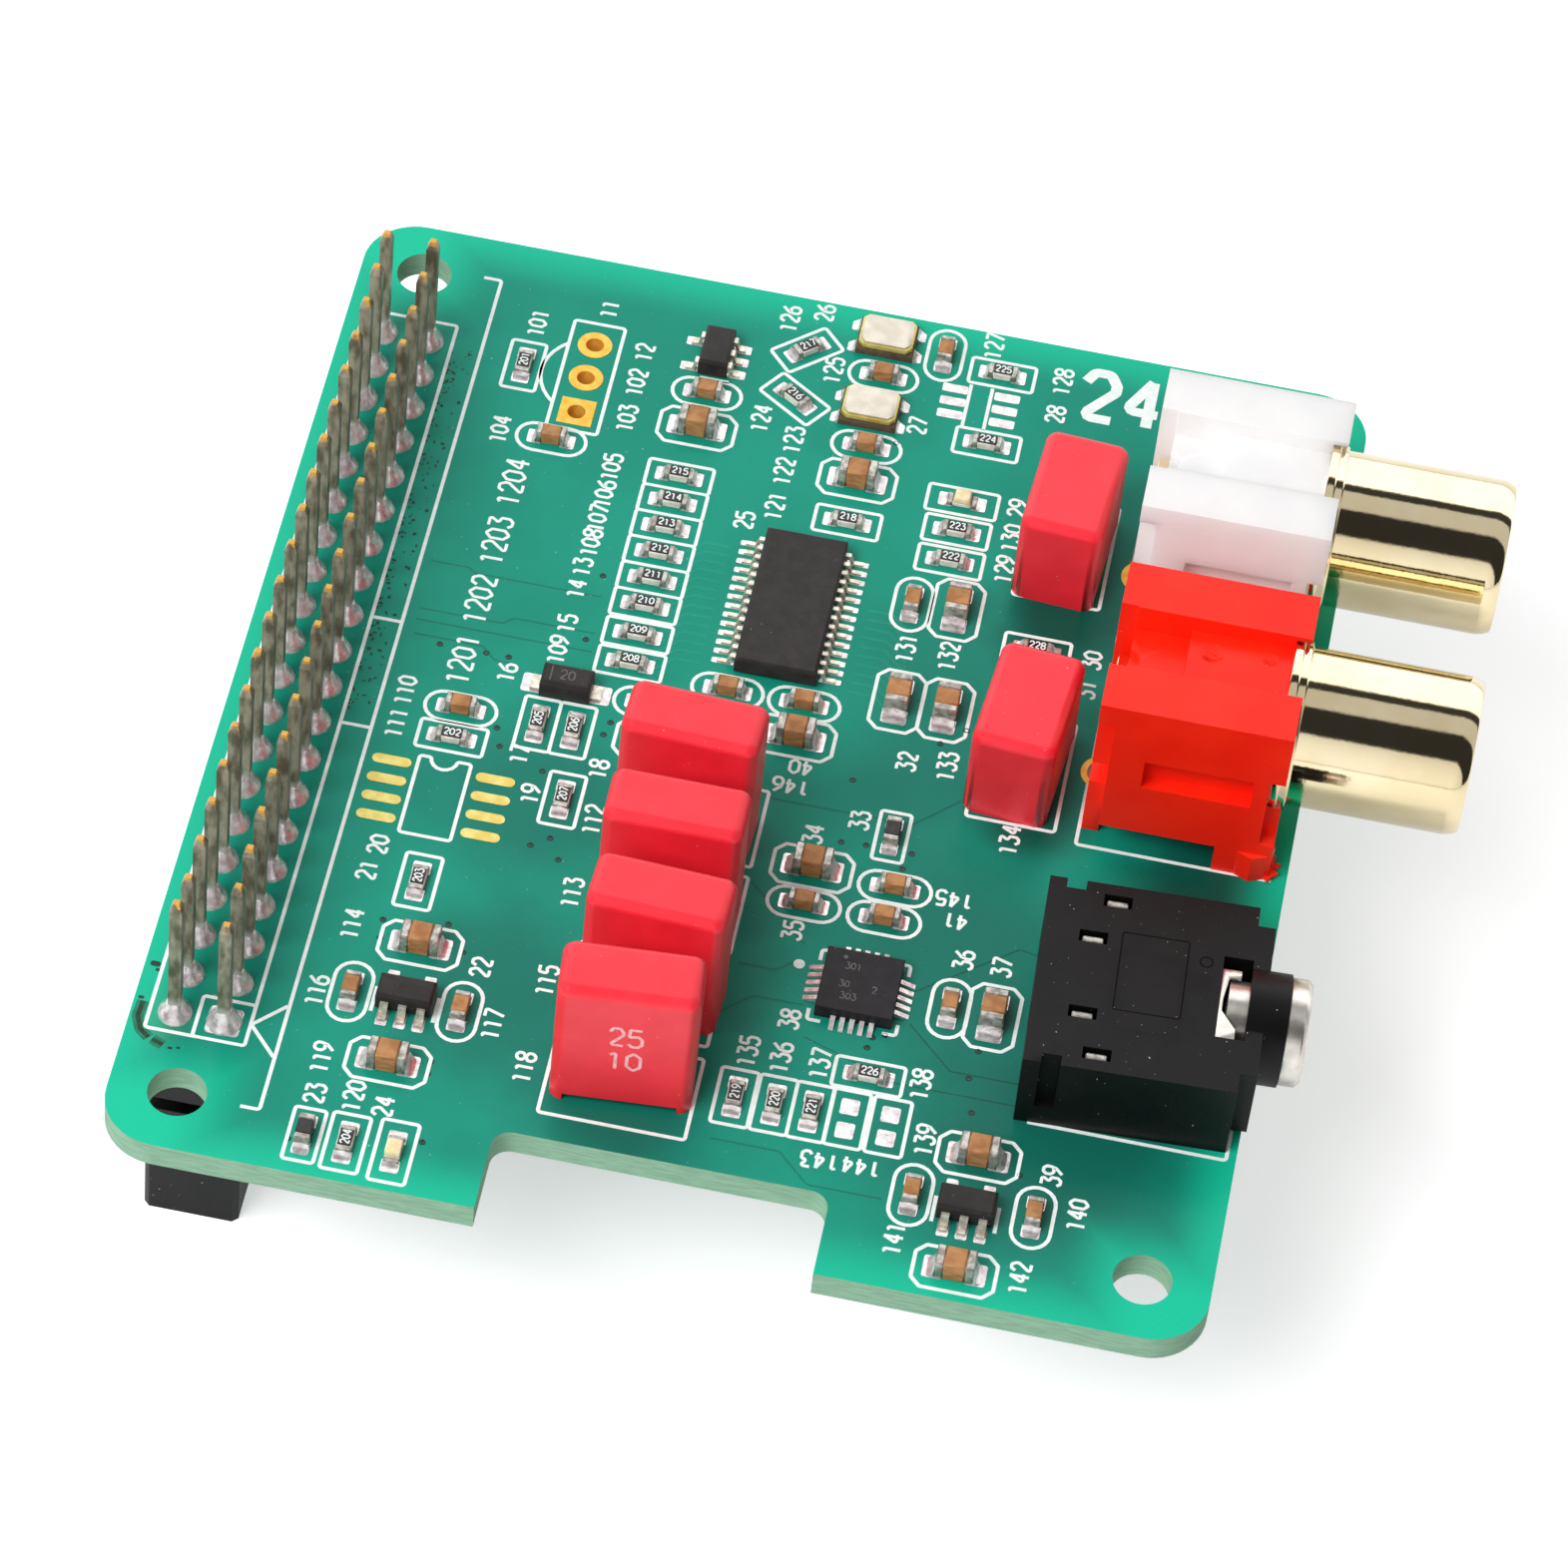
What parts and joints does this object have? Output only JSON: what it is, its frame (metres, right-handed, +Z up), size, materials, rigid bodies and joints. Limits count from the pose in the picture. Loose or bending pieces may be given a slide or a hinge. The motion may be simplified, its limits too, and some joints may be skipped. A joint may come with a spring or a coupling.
{
  "type": "audio dac board",
  "caption": "Small rectangular audio output circuit board with a stacking pin header along one edge, two phono sockets, a headphone socket and box capacitors.",
  "frame": {"origin": "middle of the four mounting holes, on the underside of the circuit board", "axes": "+Z up through the component side, +X to the audio connectors, +Y along the header"},
  "size_m": [0.0641, 0.065, 0.0263],
  "materials": {
    "laminate": "solder mask over glass-fibre laminate",
    "black_moulding": "moulded, fine matt grain",
    "white_moulding": "moulded, satin",
    "red_moulding": "moulded, satin",
    "pin_brass": "flash plated",
    "gilt_shell": "bright gilt plating",
    "nickel": "bright nickel plating",
    "solder": "reflowed tin, soft gloss",
    "film_case": "moulded box, satin",
    "tinned": "tin plated",
    "chip_epoxy": "moulded epoxy, matt",
    "white_ceramic": "fired ceramic, standing in as plastic",
    "black_glaze": "resin glaze",
    "tan_ceramic": "fired ceramic, standing in as plastic",
    "grey_ferrite": "sintered ferrite, standing in as plastic",
    "dark_ceramic": "fired ceramic, standing in as plastic",
    "lid_metal": "satin lid",
    "lamp_lens": "clear resin"
  },
  "bodies": {
    "root": {"amplifier_chip_body": "chip_epoxy", "amplifier_chip_pads": "solder", "circuit_board": "laminate", "converter_chip_body": "chip_epoxy", "converter_chip_leads": "tinned", "ferrite_bead_blocks": "grey_ferrite", "ferrite_bead_ends": "tinned", "film_capacitor_low_1": "film_case", "film_capacitor_low_2": "film_case", "film_capacitor_tall_1": "film_case", "film_capacitor_tall_2": "film_case", "film_capacitor_tall_3": "film_case", "film_capacitor_tall_4": "film_case", "film_capacitor_wires": "tinned", "header_pins": "pin_brass", "header_socket_housing": "black_moulding", "header_solder_joints": "solder", "header_spacer": "black_moulding", "headphone_bush": "nickel", "headphone_contact_blades": "tinned", "headphone_earth_spring": "nickel", "headphone_housing": "black_moulding", "large_capacitor_blocks": "tan_ceramic", "large_capacitor_ends": "tinned", "oscillator_bases": "dark_ceramic", "oscillator_lids": "lid_metal", "oscillator_seal_rings": "gilt_shell", "phono_centre_contact_red": "gilt_shell", "phono_centre_contact_white": "gilt_shell", "phono_housing_red": "red_moulding", "phono_housing_white": "white_moulding", "phono_shell_red": "gilt_shell", "phono_shell_white": "gilt_shell", "rectifier_diode_body": "chip_epoxy", "rectifier_diode_leads": "tinned", "regulator_body_1": "chip_epoxy", "regulator_body_2": "chip_epoxy", "regulator_body_3": "chip_epoxy", "regulator_leads_1": "tinned", "regulator_leads_2": "tinned", "regulator_leads_3": "tinned", "resistor_ceramics": "white_ceramic", "resistor_ends": "tinned", "resistor_glazes": "black_glaze", "small_capacitor_blocks": "tan_ceramic", "small_capacitor_ends": "tinned", "status_lamp_bases": "white_ceramic", "status_lamp_ends": "tinned", "status_lamp_lenses": "lamp_lens"}
  },
  "joints": []
}
